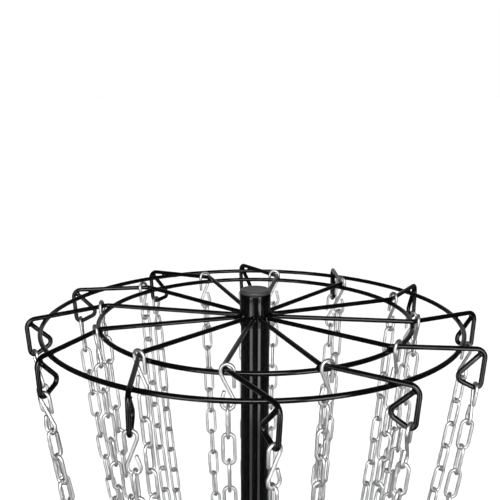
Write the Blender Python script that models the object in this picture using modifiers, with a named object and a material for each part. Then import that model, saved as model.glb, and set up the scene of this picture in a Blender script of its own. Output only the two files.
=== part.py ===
"""Disc golf basket: a wire chain support, 24 hanging chains, a wire tray and a ring base on a two-part pole.

Frame: metres, +Z up, origin on the ground on the pole's axis, -Y is the front.
"""
import math

import bmesh
import bpy
from mathutils import Matrix, Vector

GAP = 0.0003                      # between pieces that touch

# Pole, in two sections joined by a reduced spigot.
POLE_R = 0.01905
POLE_WALL = 0.0015
POLE_FOOT_Z = 0.0063
POLE_JOINT_Z = 0.690
SPIGOT_LENGTH = 0.090
POLE_TOP_DROP = 0.002             # the pole's top below the hub sleeve's

# Chain support: two hoops, twelve arms, a hub sleeve.
OUTER_RING_Z = 1.315
OUTER_RING_R = 0.2723
OUTER_RING_SHIFT = -0.0042        # its centre off the pole's axis, along X
INNER_RING_R = 0.2043
INNER_RING_LIFT = 0.0029          # the inner ring above the outer one
WIRE_R = 0.003
ARM_COUNT = 12
ARM_FIRST_ANGLE = math.radians(-99.72)
ARM_SKEW = math.radians(14.52)    # how far the tip is turned past the inner bend
ARM_TIP_R = 0.2984
ARM_HUB_LIFT = 0.0062             # the arms' centre line above the outer ring, at the hub
INNER_BEND_FILLET = 0.008
HUB_SLEEVE_R = 0.0203
HUB_SLEEVE_TOP = 0.0370           # above the outer ring
HUB_SLEEVE_BOTTOM = -0.006
HUB_CAP_THICKNESS = 0.005
HUB_CAP_BEVEL = 0.0015

# Triangular hook at each arm's tip, measured from the bend: inwards along the arm, and down.
HOOK_LEG_IN = 0.0043
HOOK_LEG_DOWN = 0.0512
HOOK_HEEL_IN = 0.0364
HOOK_HEEL_DOWN = 0.0347
HOOK_TOP_FILLET = 0.011
HOOK_TOE_FILLET = 0.0065
HOOK_HEEL_FILLET = 0.0075
HOOK_END_TRIM = 0.0085            # the wire's end short of the bend it is welded under

# Chains: S-hook, then links of one pitch, down to the chain ring.
LINK_PITCH = 0.034
CHAIN_LINKS = 17
S_HOOK_REACH = 0.042              # what the S-hook and the end links add to the links' pitches
S_HOOK_R = 0.0018
S_HOOK_ARCH_R = 0.0068
S_HOOK_TIP = 0.018
S_HOOK_SHANK = 0.041
CHAIN_R = 0.0035                  # a rod with the mass of a chain of 4 mm wire
CHAIN_START = 0.047
CHAIN_POINTS = 10
INNER_CHAIN_OUTSET = 0.0085       # along the arm, outside the inner bend
INNER_HOOK_TURN = math.radians(-35.0)  # from square to the arm towards square to the ring's radius

# Chain ring on its collar.
CHAIN_RING_Z = 0.738
CHAIN_RING_R = 0.060
COLLAR_R = 0.023
COLLAR_BOTTOM_Z = 0.716
COLLAR_TOP_Z = 0.752
COLLAR_BOLT_Z = 0.7255

# Tray.
SLEEVE_WALL = 0.0036
TRAY_RIM_Z = 0.800
TRAY_RIM_R = 0.327
TRAY_RIM_WIRE_R = 0.004
TRAY_WIRE_R = 0.0025
TRAY_WIRE_COUNT = 24
TRAY_FLOOR_Z = 0.600
TRAY_FLOOR_R = 0.305
TRAY_CORNER_FILLET = 0.018
TRAY_HUB_R = 0.046
TRAY_HUB_THICKNESS = 0.007
TRAY_WIRE_FOOT_R = 0.041
TRAY_SIDE_RING_Z = 0.706
TRAY_CORNER_RING_Z = 0.630
TRAY_FLOOR_RING_R = 0.185
TRAY_SLEEVE_BOTTOM_Z = 0.532
TRAY_SLEEVE_TOP_Z = 0.622
TRAY_STOP_BOTTOM_Z = 0.514
TRAY_STOP_R = 0.0255
TRAY_KNOB_Z = 0.556

# Base.
SOCKET_FOOT_R = 0.050
SOCKET_FLOOR_Z = 0.002
SOCKET_PLATE = 0.004
SOCKET_TOP_Z = 0.160
BASE_KNOB_Z = 0.128
GROUND_RING_INNER_R = 0.290
GROUND_RING_OUTER_R = 0.310
GROUND_RING_HEIGHT = 0.016
GROUND_RING_BEVEL = 0.003
LEG_COUNT = 4
LEG_R = 0.008
LEG_SOCKET_Z = 0.085
LEG_GROUND_Z = 0.0085
LEG_KNEE_R = 0.245
LEG_FILLET = 0.08
LEG_SOCKET_SETBACK = 0.0032       # the leg's square end clear of the round socket

# Lock knobs.
SCREW_R = 0.004
SCREW_CLEARANCE = 0.0003
BOSS_R = 0.0085
BOSS_OUT_R = 0.032
KNOB_R = 0.019
KNOB_LOBE = 0.0022
KNOB_LOBES = 5
KNOB_THICKNESS = 0.014
KNOB_START_R = 0.036

RING_SEGMENTS = 48                # a multiple of the tray's wires
TUBE_SEGMENTS = 24

FRONT = Vector((0, -1, 0))
UP = Vector((0, 0, 1))


def clear_scene():
    for item in list(bpy.data.objects):
        bpy.data.objects.remove(item, do_unlink=True)


def new_collection(name):
    collection = bpy.data.collections.new(name)
    bpy.context.scene.collection.children.link(collection)
    return collection


def new_material(name, color, roughness, metallic):
    material = bpy.data.materials.new(name)
    material.use_nodes = True
    shader = material.node_tree.nodes["Principled BSDF"]
    shader.inputs["Base Color"].default_value = (*color, 1)
    shader.inputs["Roughness"].default_value = roughness
    shader.inputs["Metallic"].default_value = metallic
    return material


def black_coat(name):
    return new_material(name, (0.012, 0.012, 0.013), 0.28, 0.0)


def zinc(name):
    return new_material(name, (0.72, 0.73, 0.74), 0.25, 1.0)


def black_plastic(name):
    return new_material(name, (0.02, 0.02, 0.021), 0.5, 0.0)


def polar(radius, angle, z=0.0):
    return Vector((radius * math.cos(angle), radius * math.sin(angle), z))


def add_mesh_object(name, mesh, material, collection):
    item = bpy.data.objects.new(name, mesh)
    mesh.materials.clear()
    mesh.materials.append(material)
    collection.objects.link(item)
    return item


def fillet(before, corner, after, radius):
    """The centre of the arc that rounds a corner, and the vectors from it to the arc's two ends."""
    back = (before - corner).normalized()
    ahead = (after - corner).normalized()
    half = back.angle(ahead) / 2
    centre = corner + (back + ahead).normalized() * radius / math.sin(half)
    start = corner + back * radius / math.tan(half) - centre
    end = corner + ahead * radius / math.tan(half) - centre
    return centre, start, end


def rounded_path(corners, steps=3):
    """The points of a wire bent at each (point, fillet radius) of a list."""
    points = [corners[0][0]]
    for (before, _), (corner, radius), (after, _) in zip(corners, corners[1:], corners[2:]):
        centre, start, end = fillet(before, corner, after, radius)
        points += [centre + start.slerp(end, i / steps) * radius for i in range(steps + 1)]
    points.append(corners[-1][0])
    return points


def wire(name, points, radius, material, collection, resolution=1, widths=None):
    """A round wire along points; widths scale its radius point by point."""
    curve = bpy.data.curves.new(name, "CURVE")
    curve.dimensions = "3D"
    curve.bevel_depth = radius
    curve.bevel_resolution = resolution
    curve.use_fill_caps = True
    spline = curve.splines.new("POLY")
    spline.points.add(len(points) - 1)
    for i, point in enumerate(points):
        spline.points[i].co = (*point, 1)
        spline.points[i].radius = widths[i] if widths else 1
    item = bpy.data.objects.new(name, curve)
    curve.materials.append(material)
    collection.objects.link(item)
    return item


def as_mesh(item):
    """Make a wire a mesh with its caps welded on, so that it can be cut or joined."""
    depsgraph = bpy.context.evaluated_depsgraph_get()
    mesh = bpy.data.meshes.new_from_object(item.evaluated_get(depsgraph))
    shape = bmesh.new()
    shape.from_mesh(mesh)
    bmesh.ops.remove_doubles(shape, verts=shape.verts, dist=0.00001)
    shape.to_mesh(mesh)
    shape.free()
    solid = bpy.data.objects.new(item.name, mesh)
    solid.matrix_world = item.matrix_world
    for collection in item.users_collection:
        collection.objects.link(solid)
    name = item.name
    bpy.data.objects.remove(item, do_unlink=True)
    solid.name = name
    return solid


def turned(name, outline, material, collection, segments=TUBE_SEGMENTS, closed=True):
    """A turned piece: (radius, z) points down the outer side and, if closed, back up the inner one."""
    mesh = bpy.data.meshes.new(name)
    edges = [(i, i + 1) for i in range(len(outline) - 1)]
    if closed:
        edges.append((len(outline) - 1, 0))
    mesh.from_pydata([(radius, 0, z) for radius, z in outline], edges, [])
    item = add_mesh_object(name, mesh, material, collection)
    screw = item.modifiers.new("Turn", "SCREW")
    screw.steps = segments
    screw.render_steps = segments
    screw.use_merge_vertices = True
    screw.merge_threshold = 0.00001
    screw.use_smooth_shade = False
    return item


def tube(name, outer_r, inner_r, bottom, top, material, collection):
    outline = [(outer_r, top), (outer_r, bottom), (inner_r, bottom), (inner_r, top)]
    return turned(name, outline, material, collection)


def hoop(name, radius, z, wire_r, material, collection, x=0.0):
    bpy.ops.mesh.primitive_torus_add(major_segments=RING_SEGMENTS, minor_segments=6,
                                     major_radius=radius, minor_radius=wire_r, location=(x, 0, z))
    item = bpy.context.object
    item.name = name
    item.data.name = name
    item.data.materials.append(material)
    for owner in list(item.users_collection):
        owner.objects.unlink(item)
    collection.objects.link(item)
    return item


def rod(name, start, end, radius, collection, segments=16, material=None):
    """A straight round bar, closed at both ends."""
    mesh = bpy.data.meshes.new(name)
    shape = bmesh.new()
    bmesh.ops.create_cone(shape, cap_ends=True, segments=segments, radius1=radius, radius2=radius,
                          depth=(end - start).length)
    shape.to_mesh(mesh)
    shape.free()
    item = bpy.data.objects.new(name, mesh)
    if material:
        mesh.materials.append(material)
    collection.objects.link(item)
    item.location = (start + end) / 2
    item.rotation_euler = (end - start).to_track_quat("Z", "Y").to_euler()
    return item


def boolean(item, other, operation):
    modifier = item.modifiers.new(operation.title(), "BOOLEAN")
    modifier.operation = operation
    modifier.object = other
    modifier.solver = "EXACT"
    other.hide_render = True
    other.display_type = "WIRE"


def bossed_sleeve(sleeve, height, bore_r, boss_r, boss_out_r, cutters):
    """Weld a boss to the front of a sleeve and drill it through for a screw."""
    inside = FRONT * (POLE_R + SLEEVE_WALL / 2) + UP * height
    boss = rod(sleeve.name + "_boss", inside, FRONT * boss_out_r + UP * height, boss_r, cutters)
    drill = rod(sleeve.name + "_drill", FRONT * POLE_R * 0.8 + UP * height,
                FRONT * (boss_out_r + 0.01) + UP * height, bore_r, cutters)
    boolean(sleeve, boss, "UNION")
    boolean(sleeve, drill, "DIFFERENCE")


def lock_knob(name, height, parts, cutters):
    """A lobed knob on its screw; the origin lies on the screw's axis, local +Z points out of the pole."""
    mesh = bpy.data.meshes.new(name)
    shape = bmesh.new()
    bmesh.ops.create_cone(shape, cap_ends=True, segments=KNOB_LOBES * 8, radius1=KNOB_R, radius2=KNOB_R,
                          depth=KNOB_THICKNESS)
    for vert in shape.verts:
        turn = math.atan2(vert.co.y, vert.co.x)
        scale = 1 + KNOB_LOBE / KNOB_R * (math.cos(KNOB_LOBES * turn) - 1)
        vert.co.x *= scale
        vert.co.y *= scale
        vert.co.z += KNOB_START_R + KNOB_THICKNESS / 2
    shape.to_mesh(mesh)
    shape.free()
    knob = add_mesh_object(name, mesh, black_plastic(name), parts)
    screw = rod(name + "_screw", UP * (POLE_R + GAP), UP * (KNOB_START_R + KNOB_THICKNESS / 2), SCREW_R,
                cutters, segments=12)
    for item in (knob, screw):
        turn = FRONT.to_track_quat("Z", "X").to_matrix().to_4x4()
        item.matrix_world = Matrix.Translation(UP * height) @ turn @ item.matrix_basis
    boolean(knob, screw, "UNION")
    return knob


def arm_bends(index):
    """The inner bend and the tip of an arm, and the level direction from one to the other."""
    angle = ARM_FIRST_ANGLE + index * 2 * math.pi / ARM_COUNT
    lift = 2 * WIRE_R + GAP
    bend = polar(INNER_RING_R, angle)
    tip = polar(ARM_TIP_R, angle + ARM_SKEW)
    run = (tip - bend).length
    level = (tip - bend) / run
    inside = bend - Vector((OUTER_RING_SHIFT, 0, 0))
    run_to_ring = math.sqrt(OUTER_RING_R ** 2 - inside.cross(level).length ** 2) - inside.dot(level)
    bend.z = OUTER_RING_Z + INNER_RING_LIFT + lift
    tip.z = bend.z - INNER_RING_LIFT * run / run_to_ring
    return angle, bend, tip, level


def hook_corners(tip, level):
    """The two lower corners of the hook at an arm's tip."""
    toe = tip - level * HOOK_LEG_IN - UP * HOOK_LEG_DOWN
    heel = tip - level * HOOK_HEEL_IN - UP * HOOK_HEEL_DOWN
    return toe, heel


def arm_path(index):
    angle, bend, tip, level = arm_bends(index)
    toe, heel = hook_corners(tip, level)
    root = polar(HUB_SLEEVE_R + GAP, angle, OUTER_RING_Z + ARM_HUB_LIFT)
    end = tip + (heel - tip).normalized() * HOOK_END_TRIM
    return rounded_path([(root, 0), (bend, INNER_BEND_FILLET), (tip, HOOK_TOP_FILLET), (toe, HOOK_TOE_FILLET),
                         (heel, HOOK_HEEL_FILLET), (end, 0)])


def catenary(span, rise, length):
    """A hanging chain from (0, 0) up to (span, rise): a function from arc length to its point and slope."""
    target = math.sqrt(length ** 2 - rise ** 2)
    low = span / 100
    high = span * 100
    for _ in range(80):
        scale = (low + high) / 2
        if 2 * scale * math.sinh(span / 2 / scale) > target:
            low = scale
        else:
            high = scale
    bottom = span / 2 - scale * math.asinh(rise / (2 * scale * math.sinh(span / 2 / scale)))
    start = math.sinh(bottom / scale)

    def at(arc):
        slope = arc / scale - start
        out = bottom + scale * math.asinh(slope)
        up = scale * (math.cosh((out - bottom) / scale) - math.cosh(bottom / scale))
        return out, up, slope

    return at


def chain_top(index, inner):
    """The centre of the wire that a chain's S-hook hangs on, and the hook's level sideways direction."""
    _, bend, tip, level = arm_bends(index)
    side = UP.cross(level)
    if inner:
        outset = (tip - bend).normalized() * INNER_CHAIN_OUTSET
        return bend + outset, Matrix.Rotation(INNER_HOOK_TURN, 3, "Z") @ side
    toe, heel = hook_corners(tip, level)
    centre, _, _ = fillet(tip, toe, heel, HOOK_TOE_FILLET)
    return centre - UP * HOOK_TOE_FILLET, side


def chain_path(index, inner):
    """The S-hook's arch over its wire and the chain below it, with the wire's width at each point."""
    top, side = chain_top(index, inner)
    length = S_HOOK_REACH + CHAIN_LINKS * LINK_PITCH
    outward = top.xy.to_3d().normalized()
    at = catenary(top.xy.length - CHAIN_RING_R, top.z - CHAIN_RING_Z, length)

    def place(arc):
        out, up, _ = at(arc)
        return outward * (CHAIN_RING_R + out) + UP * (CHAIN_RING_Z + up)

    down = (place(length - CHAIN_START) - top).normalized()
    side = (side - down * side.dot(down)).normalized()
    arch = [top + side * S_HOOK_ARCH_R + down * S_HOOK_TIP]
    for i in range(5):
        turn = math.pi * i / 4
        arch.append(top + S_HOOK_ARCH_R * (side * math.cos(turn) - down * math.sin(turn)))
    arch.append(top + down * S_HOOK_SHANK)
    low = WIRE_R + 3 * GAP
    reach = length - CHAIN_START - low
    strand = [place(low + reach * i / CHAIN_POINTS) for i in range(CHAIN_POINTS, -1, -1)]
    widths = [S_HOOK_R / CHAIN_R] * len(arch) + [1] * len(strand)
    return arch + strand, widths


def build_pole(parts):
    inner_r = POLE_R - POLE_WALL
    spigot_r = inner_r - GAP
    material = black_coat("pole_coat")
    tube("lower_pole", POLE_R, inner_r, POLE_FOOT_Z, POLE_JOINT_Z, material, parts)
    tube("tray_stop", TRAY_STOP_R, POLE_R + GAP, TRAY_STOP_BOTTOM_Z, TRAY_SLEEVE_BOTTOM_Z - GAP,
         black_coat("tray_stop_coat"), parts)
    top = OUTER_RING_Z + HUB_SLEEVE_TOP - POLE_TOP_DROP
    shoulder = POLE_JOINT_Z + GAP
    tip = POLE_JOINT_Z - SPIGOT_LENGTH
    outline = [(POLE_R, top), (POLE_R, shoulder), (spigot_r, shoulder), (spigot_r, tip),
               (spigot_r - POLE_WALL, tip), (spigot_r - POLE_WALL, top)]
    turned("upper_pole", outline, black_coat("upper_pole_coat"), parts)


def build_support(parts):
    base = OUTER_RING_Z + HUB_SLEEVE_BOTTOM
    top = OUTER_RING_Z + HUB_SLEEVE_TOP
    tube("hub_sleeve", HUB_SLEEVE_R, POLE_R + GAP, base, top, black_coat("hub_sleeve_coat"), parts)
    cap_top = top + HUB_CAP_THICKNESS + GAP
    outline = [(0, cap_top), (HUB_SLEEVE_R - HUB_CAP_BEVEL, cap_top), (HUB_SLEEVE_R, cap_top - HUB_CAP_BEVEL),
               (HUB_SLEEVE_R, top + GAP), (0, top + GAP)]
    turned("hub_cap", outline, black_plastic("hub_cap_plastic"), parts, closed=False)
    hoop("outer_ring", OUTER_RING_R, OUTER_RING_Z, WIRE_R, black_coat("outer_ring_coat"), parts,
         OUTER_RING_SHIFT)
    hoop("inner_ring", INNER_RING_R, OUTER_RING_Z + INNER_RING_LIFT, WIRE_R, black_coat("inner_ring_coat"),
         parts)
    for i in range(ARM_COUNT):
        name = f"support_arm_{i + 1:02d}"
        wire(name, arm_path(i), WIRE_R, black_coat(name + "_coat"), parts)


def build_chains(parts):
    for inner, word in ((False, "outer"), (True, "inner")):
        for i in range(ARM_COUNT):
            name = f"{word}_chain_{i + 1:02d}"
            points, widths = chain_path(i, inner)
            wire(name, points, CHAIN_R, zinc(name + "_zinc"), parts, widths=widths)


def build_chain_ring(parts, cutters):
    collar = tube("chain_collar", COLLAR_R, POLE_R + GAP, COLLAR_BOTTOM_Z, COLLAR_TOP_Z,
                  black_coat("chain_collar_coat"), parts)
    drill = rod("collar_bolt_drill", FRONT * POLE_R * 0.8 + UP * COLLAR_BOLT_Z,
                FRONT * 0.04 + UP * COLLAR_BOLT_Z, 0.003 + SCREW_CLEARANCE, cutters, segments=12)
    boolean(collar, drill, "DIFFERENCE")
    ring = hoop("chain_ring", CHAIN_RING_R, CHAIN_RING_Z, WIRE_R, black_coat("chain_ring_coat"), parts)
    for i in range(4):
        turn = math.radians(45 + 90 * i)
        spoke = rod(f"chain_ring_spoke_{i}", polar(COLLAR_R + 2 * GAP, turn, CHAIN_RING_Z),
                    polar(CHAIN_RING_R, turn, CHAIN_RING_Z), WIRE_R * 0.9, cutters, segments=8)
        boolean(ring, spoke, "UNION")
    seat = FRONT * (COLLAR_R + GAP)
    head = rod("collar_bolt", seat, FRONT * (COLLAR_R + 0.0043), 0.0058, parts, segments=6,
               material=zinc("collar_bolt_zinc"))
    shank = rod("collar_bolt_shank", FRONT * (POLE_R + GAP), FRONT * (COLLAR_R + 0.002), 0.003, cutters,
                segments=12)
    for item in (head, shank):
        item.location += UP * COLLAR_BOLT_Z
    boolean(head, shank, "UNION")


def tray_wire_path(angle):
    top_r = TRAY_RIM_R - TRAY_RIM_WIRE_R - TRAY_WIRE_R - GAP
    rim = polar(top_r, angle, TRAY_RIM_Z + TRAY_WIRE_R)
    corner = polar(TRAY_FLOOR_R, angle, TRAY_FLOOR_Z)
    foot = polar(TRAY_WIRE_FOOT_R, angle, TRAY_FLOOR_Z)
    return rounded_path([(rim, 0), (corner, TRAY_CORNER_FILLET), (foot, 0)])


def tray_side_r(z):
    """The radius of a hoop outside the tray's wires at height z."""
    top_r = TRAY_RIM_R - TRAY_RIM_WIRE_R - TRAY_WIRE_R - GAP
    share = (z - TRAY_FLOOR_Z) / (TRAY_RIM_Z + TRAY_WIRE_R - TRAY_FLOOR_Z)
    return TRAY_FLOOR_R + share * (top_r - TRAY_FLOOR_R) + 2 * TRAY_WIRE_R + 2 * GAP


def build_tray(parts, cutters):
    hoop("tray_rim", TRAY_RIM_R, TRAY_RIM_Z, TRAY_RIM_WIRE_R, black_coat("tray_rim_coat"), parts)
    hoop("tray_side_ring", tray_side_r(TRAY_SIDE_RING_Z), TRAY_SIDE_RING_Z, TRAY_WIRE_R,
         black_coat("tray_side_ring_coat"), parts)
    hoop("tray_corner_ring", tray_side_r(TRAY_CORNER_RING_Z), TRAY_CORNER_RING_Z, TRAY_WIRE_R,
         black_coat("tray_corner_ring_coat"), parts)
    hoop("tray_floor_ring", TRAY_FLOOR_RING_R, TRAY_FLOOR_Z - 2 * TRAY_WIRE_R - GAP, TRAY_WIRE_R,
         black_coat("tray_floor_ring_coat"), parts)
    sleeve_r = POLE_R + SLEEVE_WALL
    half = TRAY_HUB_THICKNESS / 2
    hub_outline = [(TRAY_HUB_R, TRAY_FLOOR_Z + half), (TRAY_HUB_R, TRAY_FLOOR_Z - half),
                   (sleeve_r + GAP, TRAY_FLOOR_Z - half), (sleeve_r + GAP, TRAY_FLOOR_Z + half)]
    cage = turned("tray_wires", hub_outline, black_coat("tray_wires_coat"), parts, RING_SEGMENTS)
    wires = []
    for i in range(TRAY_WIRE_COUNT):
        path = tray_wire_path(2 * math.pi * i / TRAY_WIRE_COUNT)
        wires.append(as_mesh(wire(f"tray_wire_{i}", path, TRAY_WIRE_R, cage.data.materials[0], cutters)))
    all_wires = bmesh.new()
    for item in wires:
        all_wires.from_mesh(item.data)
        bpy.data.objects.remove(item, do_unlink=True)
    mesh = bpy.data.meshes.new("tray_wire_set")
    all_wires.to_mesh(mesh)
    all_wires.free()
    wire_set = bpy.data.objects.new("tray_wire_set", mesh)
    cutters.objects.link(wire_set)
    boolean(cage, wire_set, "UNION")
    sleeve = tube("tray_sleeve", sleeve_r, POLE_R + GAP, TRAY_SLEEVE_BOTTOM_Z, TRAY_SLEEVE_TOP_Z,
                  black_coat("tray_sleeve_coat"), parts)
    bossed_sleeve(sleeve, TRAY_KNOB_Z, SCREW_R + SCREW_CLEARANCE, BOSS_R, BOSS_OUT_R, cutters)
    lock_knob("tray_lock_knob", TRAY_KNOB_Z, parts, cutters)


def build_base(parts, cutters):
    bore = POLE_R + GAP
    sleeve_r = POLE_R + SLEEVE_WALL
    foot_top = SOCKET_FLOOR_Z + SOCKET_PLATE
    outline = [(0, foot_top), (bore, foot_top), (bore, SOCKET_TOP_Z), (sleeve_r, SOCKET_TOP_Z),
               (sleeve_r, foot_top), (SOCKET_FOOT_R, foot_top), (SOCKET_FOOT_R, SOCKET_FLOOR_Z),
               (0, SOCKET_FLOOR_Z)]
    socket = turned("base_socket", outline, black_coat("base_socket_coat"), parts, closed=False)
    bossed_sleeve(socket, BASE_KNOB_Z, SCREW_R + SCREW_CLEARANCE, BOSS_R, BOSS_OUT_R, cutters)
    lock_knob("base_lock_knob", BASE_KNOB_Z, parts, cutters)
    top = GROUND_RING_HEIGHT
    bevel = GROUND_RING_BEVEL
    outline = [(GROUND_RING_OUTER_R - bevel, top), (GROUND_RING_OUTER_R, top - bevel),
               (GROUND_RING_OUTER_R, 0), (GROUND_RING_INNER_R, 0), (GROUND_RING_INNER_R, top - bevel),
               (GROUND_RING_INNER_R + bevel, top)]
    turned("ground_ring", outline, black_coat("ground_ring_coat"), parts, RING_SEGMENTS)
    for i in range(LEG_COUNT):
        turn = math.radians(45) + i * 2 * math.pi / LEG_COUNT
        path = rounded_path([(polar(sleeve_r + LEG_SOCKET_SETBACK, turn, LEG_SOCKET_Z), 0),
                             (polar(LEG_KNEE_R, turn, LEG_GROUND_Z), LEG_FILLET),
                             (polar(GROUND_RING_INNER_R - 3 * GAP, turn, LEG_GROUND_Z), 0)])
        wire(f"base_leg_{i + 1}", path, LEG_R, black_coat(f"base_leg_{i + 1}_coat"), parts, resolution=3)


def main():
    clear_scene()
    parts = new_collection("disc_golf_basket")
    cutters = new_collection("cutters")
    build_base(parts, cutters)
    build_pole(parts)
    build_tray(parts, cutters)
    build_chain_ring(parts, cutters)
    build_support(parts)
    build_chains(parts)


main()
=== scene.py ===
"""Visual model of the disc golf basket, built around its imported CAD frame.

Metres, +Z up, origin on the ground on the pole's axis, -Y is the front.
"""
import math
import random

import bmesh
import bpy
from mathutils import Matrix, Vector, noise


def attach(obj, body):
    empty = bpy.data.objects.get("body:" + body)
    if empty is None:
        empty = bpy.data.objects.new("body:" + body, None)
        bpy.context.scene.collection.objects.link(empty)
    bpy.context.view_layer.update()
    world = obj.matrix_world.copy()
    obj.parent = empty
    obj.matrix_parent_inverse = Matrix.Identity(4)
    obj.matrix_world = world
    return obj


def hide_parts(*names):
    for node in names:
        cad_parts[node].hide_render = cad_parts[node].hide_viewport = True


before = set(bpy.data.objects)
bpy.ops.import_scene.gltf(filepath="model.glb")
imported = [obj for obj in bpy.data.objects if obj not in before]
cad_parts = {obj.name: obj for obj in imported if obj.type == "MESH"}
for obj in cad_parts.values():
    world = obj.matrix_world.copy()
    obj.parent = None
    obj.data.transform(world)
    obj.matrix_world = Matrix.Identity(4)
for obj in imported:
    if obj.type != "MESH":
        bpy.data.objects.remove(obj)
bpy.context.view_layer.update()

UP = Vector((0, 0, 1))
FRONT = Vector((0, -1, 0))
RIGHT = Vector((1, 0, 0))

# Camera.
CAMERA_AT = (0, -1.0205, 1.6317)
CAMERA_PITCH = math.radians(-12.27)
CAMERA_YAW = math.radians(0.397)
CAMERA_ROLL = math.radians(0.14)
CAMERA_LENS = 57.81

# Floor.
FLOOR_R = 60
FLOOR_GAP = 0.0002

# Pole.
GAP = 0.0003
POLE_R = 0.01905
POLE_WALL = 0.0015
POLE_FOOT_Z = 0.0063
POLE_JOINT_Z = 0.690
SPIGOT_LENGTH = 0.090
POLE_TOP_DROP = 0.002

# Chain support. The hub sleeve's and the arms' heights are above the outer ring.
OUTER_RING_Z = 1.315
OUTER_RING_R = 0.2723
OUTER_RING_CENTRE = Vector((-0.0042, 0, 0))
INNER_RING_R = 0.2043
INNER_RING_LIFT = 0.0029
WIRE_R = 0.003
ARM_COUNT = 12
ARM_FIRST_ANGLE = math.radians(-99.72)
ARM_SKEW = math.radians(14.52)
ARM_TIP_R = 0.2984
ARM_HUB_LIFT = 0.0062
INNER_BEND_FILLET = 0.008
HUB_SLEEVE_R = 0.0203
HUB_SLEEVE_TOP = 0.0370
HUB_SLEEVE_BOTTOM = -0.006
HUB_CAP_THICKNESS = 0.005
HOOK_LEG_IN = 0.0043
HOOK_LEG_DOWN = 0.0512
HOOK_HEEL_IN = 0.0364
HOOK_HEEL_DOWN = 0.0347
HOOK_TOP_FILLET = 0.011
HOOK_TOE_FILLET = 0.0065
HOOK_HEEL_FILLET = 0.0075
HOOK_END_TRIM = 0.0085

# Chains.
LINK_PITCH = 0.034
LINK_LENGTH = 0.038               # between the centre lines of a link's crowns
LINK_WIDTH = 0.013                # between the centre lines of its sides
LINK_R = 0.002
CHAIN_LINKS = 17
S_HOOK_REACH = 0.042
S_HOOK_R = 0.0021
S_HOOK_DROP = 0.047               # from the hung-on wire's centre to the hook's lowest centre line
OUTER_ARCH = (0.0069, 0.0)        # the S-hook arch's half width, and its play over the wire
INNER_ARCH = (0.0071, 0.0018)
FIRST_CROWN = 0.043               # from the hung-on wire's centre to the first link's upper crown
INNER_CHAIN_OUTSET = 0.0090
INNER_HOOK_TURN = math.radians(-36.0)
OUTER_HOOKS_TURNED = (0, 2, 11)     # chains whose S-hook has its open tip on the other side of the wire
CHAIN_RING_Z = 0.738
CHAIN_RING_R = 0.060
COLLAR_R = 0.023
COLLAR_BOTTOM_Z = 0.716
COLLAR_TOP_Z = 0.752
COLLAR_BOLT_Z = 0.7255

# Tray.
SLEEVE_R = POLE_R + 0.0036
TRAY_RIM_Z = 0.800
TRAY_RIM_R = 0.327
TRAY_RIM_WIRE_R = 0.004
TRAY_WIRE_R = 0.0025
TRAY_WIRE_COUNT = 24
TRAY_FLOOR_Z = 0.600
TRAY_FLOOR_R = 0.305
TRAY_CORNER_FILLET = 0.018
TRAY_HUB_R = 0.046
TRAY_HUB_THICKNESS = 0.007
TRAY_WIRE_FOOT_R = 0.041
TRAY_SIDE_RING_Z = 0.706
TRAY_CORNER_RING_Z = 0.630
TRAY_FLOOR_RING_R = 0.185
TRAY_SLEEVE_BOTTOM_Z = 0.532
TRAY_SLEEVE_TOP_Z = 0.622
TRAY_STOP_BOTTOM_Z = 0.514
TRAY_STOP_R = 0.0255
TRAY_KNOB_Z = 0.556

# Base.
SOCKET_FOOT_R = 0.050
SOCKET_FLOOR_Z = 0.002
SOCKET_PLATE = 0.004
SOCKET_TOP_Z = 0.160
BASE_KNOB_Z = 0.128
GROUND_RING_INNER_R = 0.290
GROUND_RING_OUTER_R = 0.310
GROUND_RING_HEIGHT = 0.016
LEG_COUNT = 4
LEG_R = 0.008
LEG_SOCKET_Z = 0.085
LEG_GROUND_Z = 0.0085
LEG_KNEE_R = 0.245
LEG_FILLET = 0.08

# Lock knobs.
SCREW_R = 0.004
SCREW_PITCH = 0.00125
THREAD_DEPTH = 0.0007
BOSS_R = 0.0085
BOSS_OUT_R = 0.032
KNOB_R = 0.019
KNOB_LOBE = 0.0022
KNOB_LOBES = 5
KNOB_THICKNESS = 0.014
KNOB_START_R = 0.036


# ---------------------------------------------------------------- camera, light, stage

def add_camera():
    data = bpy.data.cameras.new("camera")
    data.sensor_width = 36
    data.lens = CAMERA_LENS
    data.clip_start = 0.01
    data.clip_end = 200
    camera = bpy.data.objects.new("camera", data)
    bpy.context.scene.collection.objects.link(camera)
    turn = Matrix.Rotation(CAMERA_YAW, 4, "Z") @ Matrix.Rotation(math.pi / 2 + CAMERA_PITCH, 4, "X")
    camera.matrix_world = Matrix.Translation(CAMERA_AT) @ turn @ Matrix.Rotation(CAMERA_ROLL, 4, "Z")
    bpy.context.scene.camera = camera


def soft_box(name, azimuth, distance, height, width, tall, watts):
    """A soft box that stands upright at an azimuth from the front and faces the pole."""
    data = bpy.data.lights.new(name, "AREA")
    data.shape = "RECTANGLE"
    data.size = width
    data.size_y = tall
    data.energy = watts
    light = bpy.data.objects.new(name, data)
    bpy.context.scene.collection.objects.link(light)
    turn = math.radians(azimuth) - math.pi / 2
    light.location = (distance * math.cos(turn), distance * math.sin(turn), height)
    light.rotation_euler = (math.pi / 2, 0, turn + math.pi / 2)
    light.visible_camera = False


def ramp_node(tree, stops):
    """A node that turns a value from 0 to 1 into the colour between (position, colour) stops."""
    node = tree.nodes.new("ShaderNodeValToRGB")
    marks = node.color_ramp.elements
    marks[0].position, marks[0].color = stops[0][0], (*stops[0][1], 1)
    marks[1].position, marks[1].color = stops[-1][0], (*stops[-1][1], 1)
    for position, color in stops[1:-1]:
        marks.new(position).color = (*color, 1)
    return node


def grey(value, warm=0.0):
    return value * (1 + warm), value, value * (1 - warm)


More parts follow.
